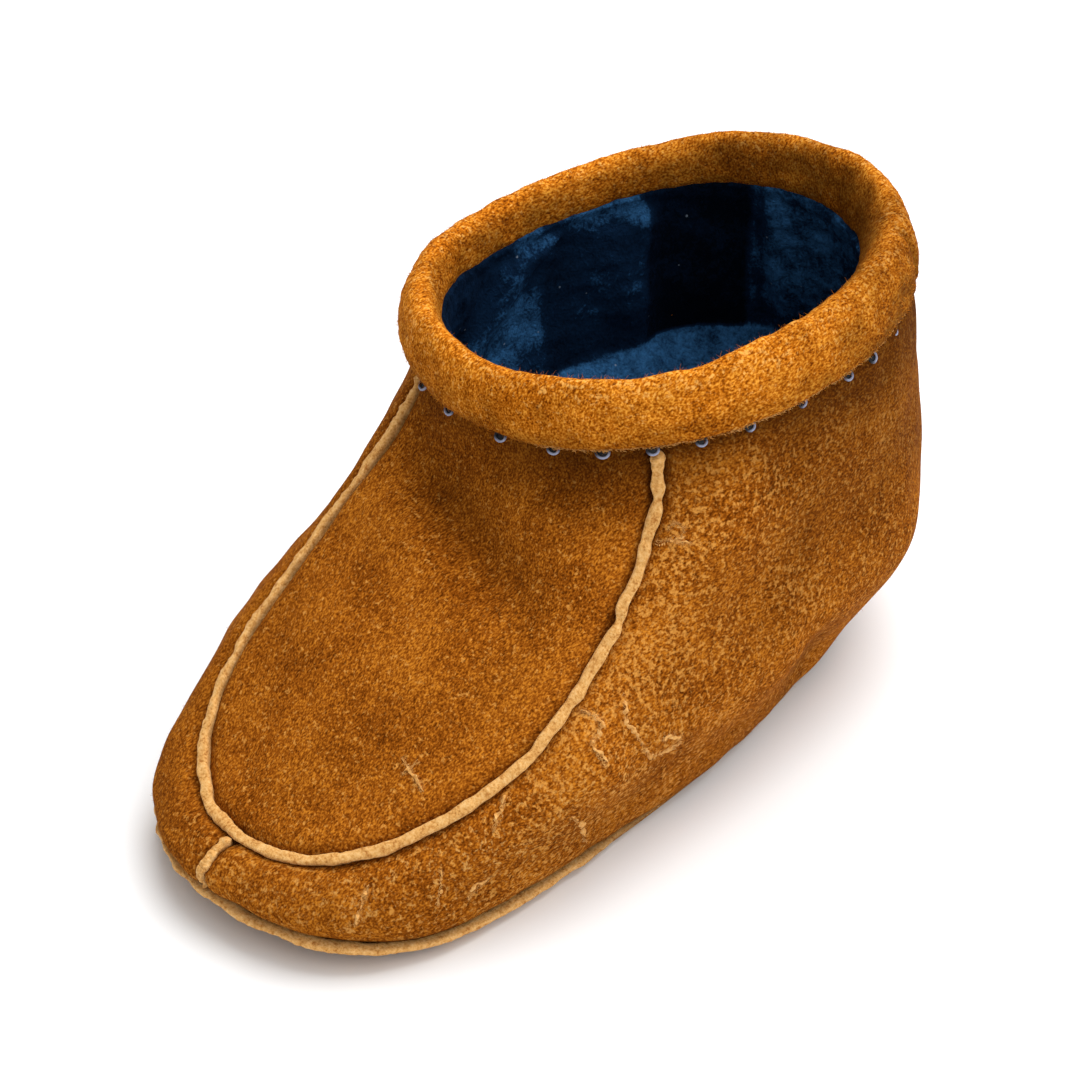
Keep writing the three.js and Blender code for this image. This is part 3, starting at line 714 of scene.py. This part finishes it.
# It covers the roll's inner face to the middle line and goes in there.
cover = 2 * roll_size("half_width", lining_turn) - ROLL_OUTSIDE + 0.45
lining_depth = lining_depth + (np.maximum(cover, lining_depth) - lining_depth) * fade(lining_at, 0.84, 0.95)
lining_depth = lining_depth - 2.2 * fade(lining_at, 0.978, 1.0)
shown = lining_face - (lining_depth + 0.12 * lumps(lining_face, 1.9, 63))[..., None] * lining_normal
hidden = lining_face - (lining_depth - PILE)[..., None] * lining_normal
lining = grid_piece("fleece_lining", np.concatenate([hidden, shown[:, ::-1]], 1), True, True)
pile_turn = (np.degrees(lining_turn) + 180) % 360 - 180
leaning = np.interp(pile_turn, LEAN_TURNS, LEANS) * (lining_at - 0.75)
pile_turn = pile_turn - leaning * bell((pile_turn + 125) / 60)
lie_and_painted_light = np.interp(pile_turn, *PILE_LIES_AND_PAINTED_LIGHT.T) + 0.05 * lumps(lining_face, 8, 65)
# Painted light on two patches of the pile, painted shadow just above the swelling's crease, and painted
# light on the swelling's upper face.
lie_and_painted_light = lie_and_painted_light + 0.22 * bell((pile_turn + 122) / 20) * fade(lining_at, 0.78, 0.90)
lie_and_painted_light = lie_and_painted_light + 0.25 * bell((pile_turn + 86) / 26) * fade(-lining_at, -0.74, -0.58)
lie_and_painted_light = lie_and_painted_light - 0.16 * padded * bell((lining_at - SWELLING["crease"] - 0.03) / 0.05)
lie_and_painted_light = lie_and_painted_light + (0.78 + 0.05 * lumps(lining_face, 5, 66) - lie_and_painted_light) * padded * fade(under, -0.02, 0.05)
paint(lining, "lie_and_painted_light", np.clip(np.concatenate([lie_and_painted_light, lie_and_painted_light[:, ::-1]], 1), 0, 1))


def fleece(name, deep, body, tip):
    """Brushed fleece: matt pile whose tufts catch light at their tips, lighter and darker with the painted
    light and shade of the pile's lie, with a few pale specks of lint, each the core of a cell."""
    material, tree = empty_material(name)
    place = node(tree, "ShaderNodeTexCoord").outputs["Object"]
    lie_and_painted_light = node(tree, "ShaderNodeAttribute", attribute_name="lie_and_painted_light").outputs["Fac"]
    tuft = node(tree, "ShaderNodeTexNoise", {
        "Vector": place, "Scale": 1 / (1.5 * MM), "Detail": 4.0, "Roughness": 0.62, "Distortion": 0.6})
    cloud = node(tree, "ShaderNodeTexNoise", {
        "Vector": place, "Scale": 1 / (7 * MM), "Detail": 2.0, "Roughness": 0.5})
    cloud = node(tree, "ShaderNodeMath", {0: cloud, 1: 0.18}, operation="MULTIPLY")
    # The pile's own fibres are too fine to show and are drawn in bundles.
    fibre = node(tree, "ShaderNodeTexNoise", {
        "Vector": place, "Scale": 1 / (0.42 * MM), "Detail": 3.0, "Roughness": 0.6})
    lint = node(tree, "ShaderNodeTexVoronoi", {"Vector": place, "Scale": 1 / (4.2 * MM)})
    tone = node(tree, "ShaderNodeMath", {0: tuft, 1: 0.7, 2: cloud}, operation="MULTIPLY_ADD")
    tone = node(tree, "ShaderNodeMath", {0: fibre, 1: 0.5, 2: tone}, operation="MULTIPLY_ADD")
    tone = node(tree, "ShaderNodeMath", {0: lie_and_painted_light, 1: 1.2, 2: tone}, operation="MULTIPLY_ADD")
    tone = node(tree, "ShaderNodeMapRange", {"Value": tone, "From Min": 0.78, "From Max": 1.95})
    ramp = node(tree, "ShaderNodeValToRGB", {"Fac": tone})
    stops = ramp.color_ramp.elements
    stops[0].color, stops[1].color = linear(deep), linear(tip)
    stops.new(0.5).color = linear(body)
    fleck = node(tree, "ShaderNodeMapRange", {
        "Value": lint, "From Min": 0.03, "From Max": 0.06, "To Min": 0.5, "To Max": 0.0})
    colour = node(tree, "ShaderNodeMix", {0: fleck, 6: ramp, 7: linear("#9aa9bb")}, data_type="RGBA")
    height = node(tree, "ShaderNodeMath", {0: fibre, 1: 0.5, 2: tuft}, operation="MULTIPLY_ADD")
    bump = node(tree, "ShaderNodeBump", {"Height": height, "Strength": 0.8, "Distance": 0.9 * MM})
    surface = node(tree, "ShaderNodeBsdfPrincipled", {
        "Base Color": colour.outputs[2], "Normal": bump, "Roughness": 1.0,
        "Specular IOR Level": 0.03,
        "Sheen Weight": 0.08, "Sheen Roughness": 0.6, "Sheen Tint": linear("#2a5a98")})
    node(tree, "ShaderNodeOutputMaterial", {"Surface": surface})
    return material


navy_fleece = fleece("navy_brushed_fleece", "#02050c", "#0b2038", "#3d78b0")
for piece in (footbed, lining):
    piece.data.materials.append(navy_fleece)
    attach(piece, "root")
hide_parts("insole")

# Collar roll
# A band of suede turned over the top edge of the upper and rolled outwards over the fleece.
# Its raw lower edge hangs free as a thin lip, and its ends butt at the outer side of the heel.
ROLL_TURNS = 420
ROLL_SWINGS = 64
JOIN_TURN = np.radians(138)


def roll_middle(turn):
    """Middle line of the roll and its outward direction: the top ring, moved out or in."""
    outwards = last_normal(turn, np.ones_like(turn)) * (1, 1, 0)
    outwards = unit(outwards)
    out = ROLL_OUTSIDE - roll_size("half_width", turn)
    return last_point(turn, np.ones_like(turn)) + out[:, None] * outwards, outwards


def roll_section(turn, swing):
    """Egg-shaped section, tall above and short below, squared at the lower outer edge to leave a lip."""
    c, s = np.cos(swing), np.sin(swing)
    lip = bell((((swing + 0.75 + np.pi) % (2 * np.pi)) - np.pi) / 0.5)
    out = roll_size("half_width", turn) * c * (1 + 0.20 * lip)
    up = np.where(s > 0, roll_size("above", turn), roll_size("below", turn)) * s * (1 + 0.10 * lip)
    return out, up


roll_turn = np.linspace(0, 2 * np.pi, ROLL_TURNS, endpoint=False)
roll_mid, roll_out = roll_middle(roll_turn)
roll_swing = np.linspace(-np.pi, np.pi, ROLL_SWINGS, endpoint=False)
out, up = roll_section(roll_turn[:, None], roll_swing[None, :])
fat = 1 + 0.045 * lumps(roll_mid, 24, 71) + 0.015 * lumps(roll_mid, 9, 72)
roll = roll_mid[:, None, :] + (out * fat[:, None])[..., None] * roll_out[:, None, :]
roll[..., 2] += up * (2 - fat[:, None])
roll_cos, roll_sin = np.cos(roll_swing)[None, :, None], np.sin(roll_swing)[None, :, None]
roll_normal = unit(roll_cos * roll_out[:, None, :] + roll_sin * (0, 0, 1))
join = np.abs((roll_turn - JOIN_TURN + np.pi) % (2 * np.pi) - np.pi) * 33
ruck = 0.07 * lumps(roll, 7, 73) + 0.04 * lumps(roll, 2.2, 74)
outside = fade(np.cos(roll_swing), -0.2, 0.5)[None, :]
ruck = ruck - 0.7 * bell(join / 0.9)[:, None] * outside
groove_turn = bell((np.degrees(roll_turn) - 52) / 26)[:, None]
ruck = ruck - 0.28 * groove_turn * bell((roll_swing[None, :] + 0.05) / 0.16)
roll = roll + ruck[..., None] * roll_normal
collar = grid_piece("suede_collar_roll", roll, wrap_rows=True, wrap_columns=True)
# Painted shade: it is darker underneath, inside and at the back, along the lower half of its front and in
# its rucks, with a little random tone.
roll_outer = np.cos(roll_swing) > 0
roll_shade = 0.5 * bell((roll_swing + 1.35) / 0.30) + 0.36 * fade(-roll_swing, -1.0, 0.5) * roll_outer
roll_shade = roll_shade + 0.62 * fade(-np.cos(roll_swing), 0.0, 0.9)
roll_shade = roll_shade[None, :] + np.clip(-0.5 * ruck, 0, 0.5)
roll_shade = roll_shade + 0.08 * lumps(roll, 6, 77) + 0.05 * lumps(roll, 2.4, 78)
low_front = fade(-roll_swing, 0.1, 0.75) * roll_outer
roll_shade = roll_shade + 0.42 * low_front[None, :] * fade(np.cos(roll_turn), 0.45, 0.85)[:, None]
outer_back = fade(np.sin(roll_turn), 0.2, 0.9) * fade(-np.cos(roll_turn), -0.3, 0.5)
roll_shade = roll_shade + 0.54 * outer_back[:, None]
roll_shade = roll_shade + 0.30 * fade(-np.cos(roll_turn), 0.3, 0.9)[:, None]
# The cut edge of the lip is pale along the outer side.
LIP_SWING = -0.805
lip_light = 0.6 * bell((roll_swing - LIP_SWING) / 0.12)[None, :]
lip_light = lip_light * fade(np.sin(roll_turn), -0.2, 0.5)[:, None]
# Pale flecks, with more along the crest as a painted highlight, and random patches.
roll_flecks_and_highlight = 0.12 + 0.40 * bell((roll_swing - 1.2) / 0.6) + 0.10 * lumps(roll, 12, 76)
for name, amounts in (
    ("flecks", roll_flecks_and_highlight), ("painted_shade", roll_shade), ("scuff", lip_light), ("wrinkled", 0 * ruck),
):
    paint(collar, name, np.clip(amounts, 0, 1))
roll_suede = suede("rolled_suede", "#6a2f03", "#ba6710", "#f0a238", "#eeac54")
collar.data.materials.append(roll_suede)
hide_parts("collar_roll")
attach(collar, "root")

# Whip stitches
# Waxed navy thread that catches the lip of the collar down to the upper, sewn by hand.
# Each stitch shows as a small loop round a dark knot, which stands in for the shade inside the loop.
STITCH_PITCH = 8.2
STITCH_DROP = 0.75
THREAD = 0.19
LOOP = (0.86, 0.74)
# Turns in degrees of the uneven stitches on the outer side. The others follow at the pitch.
SHOWN_STITCHES = (-6, 11, 25, 37, 49, 61, 74, 90, 104, 113, 124)

fine_turn = np.radians(np.linspace(SHOWN_STITCHES[-1], SHOWN_STITCHES[0] + 360, 2001))
fine_mid, fine_out = roll_middle(fine_turn)
fine_lip = fine_mid + 2.4 * fine_out
lip_length = np.concatenate([[0], np.cumsum(np.linalg.norm(np.diff(fine_lip, axis=0), axis=1))])
rng = np.random.default_rng(81)
spaces = int(round(lip_length[-1] / STITCH_PITCH))
stitch_at = (np.arange(1, spaces) + rng.uniform(-0.12, 0.12, spaces - 1)) * lip_length[-1] / spaces
stitch_turn = np.concatenate([np.radians(SHOWN_STITCHES), np.interp(stitch_at, lip_length, fine_turn)])
stitch_count = len(stitch_turn)
stitch_mid, stitch_out = roll_middle(stitch_turn)
stitch_along = unit(np.cross((0, 0, 1), stitch_out))
stitch_face = unit(stitch_out * 0.78 + np.array((0, 0, 0.62)))
stitch_up = np.cross(stitch_face, stitch_along)
# Each loop lies against the lower outer edge of the lip, and hangs loose near the heel.
loose = bell((np.degrees(stitch_turn) - 118) / 16)
stitch_reach = 0.62 * roll_size("half_width", stitch_turn) + 0.6 * loose
stitch_place = stitch_mid + stitch_reach[:, None] * stitch_out
stitch_place[:, 2] -= 0.81 * roll_size("below", stitch_turn) + STITCH_DROP + 0.7 * loose
tilt = rng.uniform(-0.35, 0.35, stitch_count)[:, None]
loop_x = (np.cos(tilt) * stitch_along + np.sin(tilt) * stitch_up)[:, None, None, :]
loop_y = (np.cos(tilt) * stitch_up - np.sin(tilt) * stitch_along)[:, None, None, :]
around = np.linspace(0, 2 * np.pi, 22, endpoint=False)[None, :, None, None]
ring = np.linspace(0, 2 * np.pi, 8, endpoint=False)[None, None, :, None]
size = rng.uniform(0.9, 1.12, stitch_count)[:, None, None, None]
radial = np.cos(around) * loop_x + np.sin(around) * loop_y
core = LOOP[0] * np.cos(around) * loop_x + LOOP[1] * np.sin(around) * loop_y
loops = stitch_place[:, None, None, :] + size * core
loops = loops + THREAD * (np.cos(ring) * radial + np.sin(ring) * stitch_face[:, None, None, :])
stitches = grid_piece("collar_stitches", loops, wrap_rows=True, wrap_columns=True)
# Painted highlight: the pale ply of the thread comes to the front at the lower side of each loop.
pale_ply_and_highlight = bell((np.sin(around - 0.5) + 0.9) / 0.6) * np.ones_like(loops[..., :1])
paint(stitches, "pale_ply_and_highlight", pale_ply_and_highlight)
# Inside each loop the thread goes down into the suede as a dark knot, which also stands in for the shade in
# the loop's hole.
knot_round = np.linspace(0, 2 * np.pi, 12, endpoint=False)[None, :, None, None]
knot_rise = np.linspace(-np.pi / 2, np.pi / 2, 7)[None, None, :, None]
knots = (stitch_place - 0.12 * stitch_face)[:, None, None, :] + 0.78 * np.cos(knot_rise) * (
    np.cos(knot_round) * loop_x + np.sin(knot_round) * loop_y)
knots = knots + 0.10 * np.sin(knot_rise) * stitch_face[:, None, None, :]
stitch_knots_and_shadow = grid_piece("stitch_knots_and_shadow", knots, wrap_rows=True, weld=True)


def waxed_thread(name, deep, body, ply_and_highlight_colour):
    """Waxed thread: a dark and a pale ply twisted, the pale one put as a painted highlight at the lower
    side of each loop, and smooth enough to give a soft highlight along each loop."""
    material, tree = empty_material(name)
    place = node(tree, "ShaderNodeTexCoord").outputs["Object"]
    ply = node(tree, "ShaderNodeTexNoise", {
        "Vector": place, "Scale": 1 / (0.3 * MM), "Detail": 2.0, "Roughness": 0.5})
    ramp = node(tree, "ShaderNodeValToRGB", {"Fac": ply})
    stops = ramp.color_ramp.elements
    stops[0].position, stops[0].color = 0.35, linear(deep)
    stops[1].position, stops[1].color = 0.65, linear(body)
    front = node(tree, "ShaderNodeAttribute", attribute_name="pale_ply_and_highlight").outputs["Fac"]
    colour = node(tree, "ShaderNodeMix", {0: front, 6: ramp, 7: linear(ply_and_highlight_colour)}, data_type="RGBA")
    bump = node(tree, "ShaderNodeBump", {"Height": ply, "Strength": 0.4, "Distance": 0.1 * MM})
    surface = node(tree, "ShaderNodeBsdfPrincipled", {
        "Base Color": colour.outputs[2], "Normal": bump, "Roughness": 0.5,
        "Specular IOR Level": 0.3})
    node(tree, "ShaderNodeOutputMaterial", {"Surface": surface})
    return material


navy_thread = waxed_thread("waxed_navy_thread", "#020307", "#0b101b", "#8f95ac")
for piece in (stitches, stitch_knots_and_shadow):
    piece.data.materials.append(navy_thread)
    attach(piece, "root")

# Nap
# Loose fibres that stand up from the brushed suede, thickest on the roll, where hands pull at it,
# and pale ones torn loose along the scuffs and the roll's cut lip.
def fibres(name, roots, normals, count, length, radius, seed, stray=0.75):
    """Tapered three-sided hairs. Each starts at a seeded root, leaves near the normal or as far off
    as it strays, and bends over sideways with the square of the distance along it."""
    rng = np.random.default_rng(seed)
    pick = rng.integers(0, len(roots), count)
    start, rise = roots[pick], normals[pick]
    lean = unit(rise + stray * rng.normal(size=(count, 3)))
    bend = np.cross(lean, unit(rng.normal(size=(count, 3)))) * 0.6
    reach = length * rng.uniform(0.35, 1.0, (count, 1, 1))
    along = np.linspace(0, 1, 4)[None, :, None]
    spine = start[:, None, :] + reach * (along * lean[:, None, :] + along**2 * bend[:, None, :])
    side = unit(np.cross(lean, (0.3, 0.5, 0.81)))
    other = np.cross(lean, side)
    swing = np.linspace(0, 2 * np.pi, 3, endpoint=False)[None, None, :, None]
    thick = radius * (1 - 0.75 * along)[..., None]
    hairs = spine[:, :, None, :] + thick * (
        np.cos(swing) * side[:, None, None, :] + np.sin(swing) * other[:, None, None, :])
    return grid_piece(name, hairs, wrap_columns=True)


# Hairs are thicker than real fibres, so that they show. Lengths and radii are in millimetres.
ROLL_NAP = {"count": 3200, "length": 0.95, "radius": 0.032, "seed": 91}
UPPER_NAP = {"count": 3600, "length": 0.55, "radius": 0.022, "seed": 92}
SCUFF_NAP = {"length": 0.60, "radius": 0.052, "seed": 95, "stray": 0.3}
SCUFF_STOPS = 200
SCUFF_HAIRS_PER_MM = 20
SCUFF_CROWN = 0.17
SCUFF_ROOT = 0.30
LIP_HAIRS = 1300
shown_roll = np.tile((np.cos(roll_swing) > -0.3) & (roll_swing > -0.95), (ROLL_TURNS, 1))
roll_nap = fibres("roll_nap", roll[shown_roll], roll_normal[shown_roll], **ROLL_NAP)
face_normal = last_normal(turn, outer_at)
away_from_seams = (seam_gap > 1.5) & (toe_gap > 1.5) & (outer_at < 0.93) & (outer_at > 0.03)
upper_nap = fibres("upper_nap", skin[away_from_seams], face_normal[away_from_seams], **UPPER_NAP)
# A scuff pulls the suede up in a low broken ridge, with loose fibres that lie along it.
scuff_roots, scuff_leans, scuff_bars = [], [], []
for number, mark in enumerate(SCUFFS):
    turns, rings = np.array(mark["path"]).T
    stops = np.linspace(0, len(turns) - 1, SCUFF_STOPS)
    mark_turn = np.radians(np.interp(stops, np.arange(len(turns)), turns))
    mark_ring = np.interp(stops, np.arange(len(turns)), rings)
    mark_normal = last_normal(mark_turn, mark_ring)
    row = np.round(mark_turn / (2 * np.pi) * UPPER_TURNS).astype(int) % UPPER_TURNS
    column = np.round(mark_ring / UPPER_TOP * (UPPER_ROWS - 1)).astype(int)
    places = last_point(mark_turn, mark_ring) + (relief[row, column] + 0.08)[:, None] * mark_normal
    run = np.linalg.norm(np.diff(places, axis=0), axis=1).sum()
    count = int(SCUFF_HAIRS_PER_MM * run * mark["amount"])
    pick = np.random.default_rng(93).integers(0, SCUFF_STOPS, count)
    across = np.cross(mark_normal, along_path(places))
    sideways = 0.34 * mark["width"] * np.random.default_rng(94).normal(size=(count, 1))
    scuff_roots.append(places[pick] + sideways * across[pick])
    scuff_leans.append(along_path(places)[pick] + 0.15 * mark_normal[pick])
    ridge = places + 0.10 * lumps(places, 1.6, 200 + number)[:, None] * across
    stand = 0.12 * mark["amount"] + 0.12 * lumps(places, 1.7, 230 + number) - 0.16
    ridge = ridge + stand[:, None] * mark_normal
    thick = 0.56 * mark["width"] * (1 + 0.35 * lumps(places, 1.1, 260 + number))
    thick = np.maximum(thick, 0.04) * np.sin(np.pi * stops / stops[-1]) ** 0.4
    thick = thick[:, None, None]
    bar = welt_bar(ridge, across, mark_normal, thick, SCUFF_CROWN, SCUFF_ROOT, False, 290 + number)
    scuff_bars.append(bar)
# The cut lip of the roll frays in the same way along the outer side.
frayed = (roll_turn > np.radians(20)) & (roll_turn < np.radians(140))
lip_row = np.argmin(np.abs(roll_swing - LIP_SWING))
lip_edge_places = roll[frayed, lip_row] + 0.06 * roll_normal[frayed, lip_row]
pick = np.random.default_rng(96).integers(0, frayed.sum(), LIP_HAIRS)
spread = 0.10 * np.random.default_rng(97).normal(size=(LIP_HAIRS, 3))
scuff_roots.append(lip_edge_places[pick] + spread)
scuff_leans.append(along_path(lip_edge_places)[pick])
scuff_roots, scuff_leans = np.concatenate(scuff_roots), np.concatenate(scuff_leans)
scuff_nap = fibres("scuff_nap", scuff_roots, scuff_leans, len(scuff_roots), **SCUFF_NAP)
scuff_ridges = grid_piece("scuff_ridges", np.stack(scuff_bars), wrap_columns=True)
pulled_fibre = suede_edge("pulled_fibre", "#b87a34", "#d29850", "#deae6c", pitting=0.0, fuzz=0.0)
for piece, finish in (
    (roll_nap, roll_suede), (upper_nap, tan_suede), (scuff_nap, pulled_fibre), (scuff_ridges, pulled_fibre),
):
    piece.data.materials.append(finish)
    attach(piece, "root")

# Floor, light and camera
# A plain pale floor under a white surround, lit by two large soft lights: the key high behind the heel
# and a weak fill from the outer side.
FLOOR_HALF = 3000.0
floor_places = FLOOR_HALF * np.array([[(-1, -1, 0), (-1, 1, 0)], [(1, -1, 0), (1, 1, 0)]])
floor = grid_piece("floor", floor_places)
paper = bpy.data.materials.new("white_paper")
paper.use_nodes = True
paper.node_tree.nodes["Principled BSDF"].inputs["Base Color"].default_value = linear("#f0f0f0")
paper.node_tree.nodes["Principled BSDF"].inputs["Roughness"].default_value = 0.9
floor.data.materials.append(paper)

SURROUND_STRENGTH = 0.52
surround = bpy.data.worlds.new("surround")
surround.use_nodes = True
surround.node_tree.nodes["Background"].inputs["Color"].default_value = (1.0, 1.0, 1.0, 1.0)
surround.node_tree.nodes["Background"].inputs["Strength"].default_value = SURROUND_STRENGTH
bpy.context.scene.world = surround


def towards(azimuth, elevation):
    """Unit direction from the slipper: azimuth from the toe towards the outer side, in degrees."""
    a, e = np.radians(azimuth), np.radians(elevation)
    return np.array([np.sin(a) * np.cos(e), -np.cos(a) * np.cos(e), np.sin(e)])


def aim(thing, place, target):
    """Put a light or camera at a place in metres and turn its -Z axis to the target, with +Y upwards."""
    back = unit(np.array(place) - np.array(target))
    right = unit(np.cross((0, 0, 1), back))
    turned = np.eye(4)
    turned[:3, 0], turned[:3, 1], turned[:3, 2], turned[:3, 3] = right, np.cross(back, right), back, place
    thing.matrix_world = turned.T.tolist()


# Azimuth and elevation in degrees, and watts. Sizes and distances from here on are in metres.
LIGHT_SIZE = 0.9
LIGHT_DISTANCE = 0.85
LIGHTS = {"key_light": (185, 68, 8.9), "fill_light": (85, 45, 2.7)}
for name, (azimuth, elevation, watts) in LIGHTS.items():
    lamp = bpy.data.objects.new(name, bpy.data.lights.new(name, "AREA"))
    lamp.data.shape = "DISK"
    lamp.data.size = LIGHT_SIZE
    lamp.data.energy = watts
    bpy.context.scene.collection.objects.link(lamp)
    aim(lamp, LIGHT_DISTANCE * towards(azimuth, elevation), (0, 0, 0.03))

CAMERA_TARGET = np.array([-1.3, -2.3, 33.5]) * MM
CAMERA_DISTANCE = 0.45
CAMERA_AZIMUTH = 46.5
CAMERA_ELEVATION = 35.7
camera = bpy.data.objects.new("camera", bpy.data.cameras.new("camera"))
camera.data.lens = 101.0
camera.data.sensor_width = 36.0
camera.data.clip_start = 0.01
bpy.context.scene.collection.objects.link(camera)
camera_place = CAMERA_TARGET + CAMERA_DISTANCE * towards(CAMERA_AZIMUTH, CAMERA_ELEVATION)
aim(camera, camera_place, CAMERA_TARGET)
bpy.context.scene.camera = camera
bpy.context.scene.view_settings.view_transform = "Standard"
